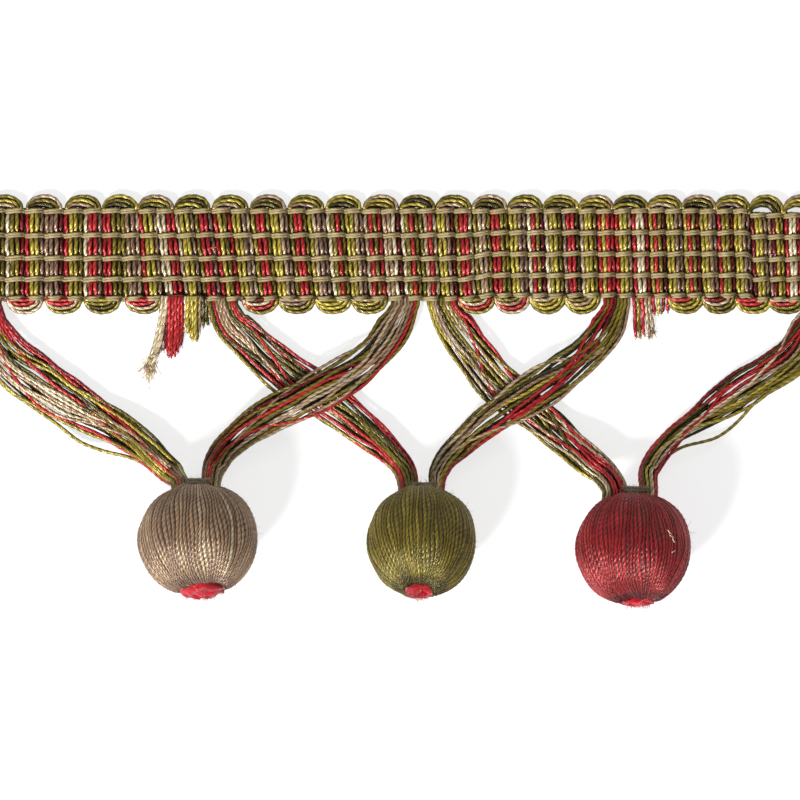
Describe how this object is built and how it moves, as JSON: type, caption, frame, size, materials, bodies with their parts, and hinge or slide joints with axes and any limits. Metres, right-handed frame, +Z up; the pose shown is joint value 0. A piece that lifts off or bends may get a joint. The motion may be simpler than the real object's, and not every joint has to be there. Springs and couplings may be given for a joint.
{
  "type": "ball fringe trim",
  "caption": "Cut length of furnishing trim: a woven gimp heading with crossing skeins of loose yarn that end in yarn-wound balls, sewn or glued along an edge.",
  "frame": {"origin": "on the surface the trim lies on, under the middle of its bounding box", "axes": "+X along the heading, +Y from the balls to the heading, +Z up out of the trim's face"},
  "size_m": [0.1628, 0.0771, 0.0221],
  "materials": {
    "heading_yarn": "mixed beige, olive and red rayon yarns under matte khaki warps",
    "skein_yarn": "glossy plied rayon yarns in beige, olive and red",
    "yarn_beige": "glossy wound beige yarn",
    "yarn_olive": "glossy wound olive yarn",
    "yarn_red": "glossy wound red yarn",
    "plug_crimson": "matte crimson cut yarn ends",
    "neck_binding": "matte grey-beige binding yarn"
  },
  "bodies": {
    "root": {"heading": "heading_yarn", "skein_a": "skein_yarn", "skein_b": "skein_yarn", "skein_c": "skein_yarn", "skein_d": "skein_yarn", "skein_e": "skein_yarn", "skein_f": "skein_yarn", "tuft_left": "skein_yarn", "tuft_right": "skein_yarn", "ball_1": "yarn_beige", "ball_2": "yarn_olive", "ball_3": "yarn_red", "plug_1": "plug_crimson", "plug_2": "plug_crimson", "plug_3": "plug_crimson", "neck_1": "neck_binding", "neck_2": "neck_binding", "neck_3": "neck_binding"}
  },
  "joints": []
}
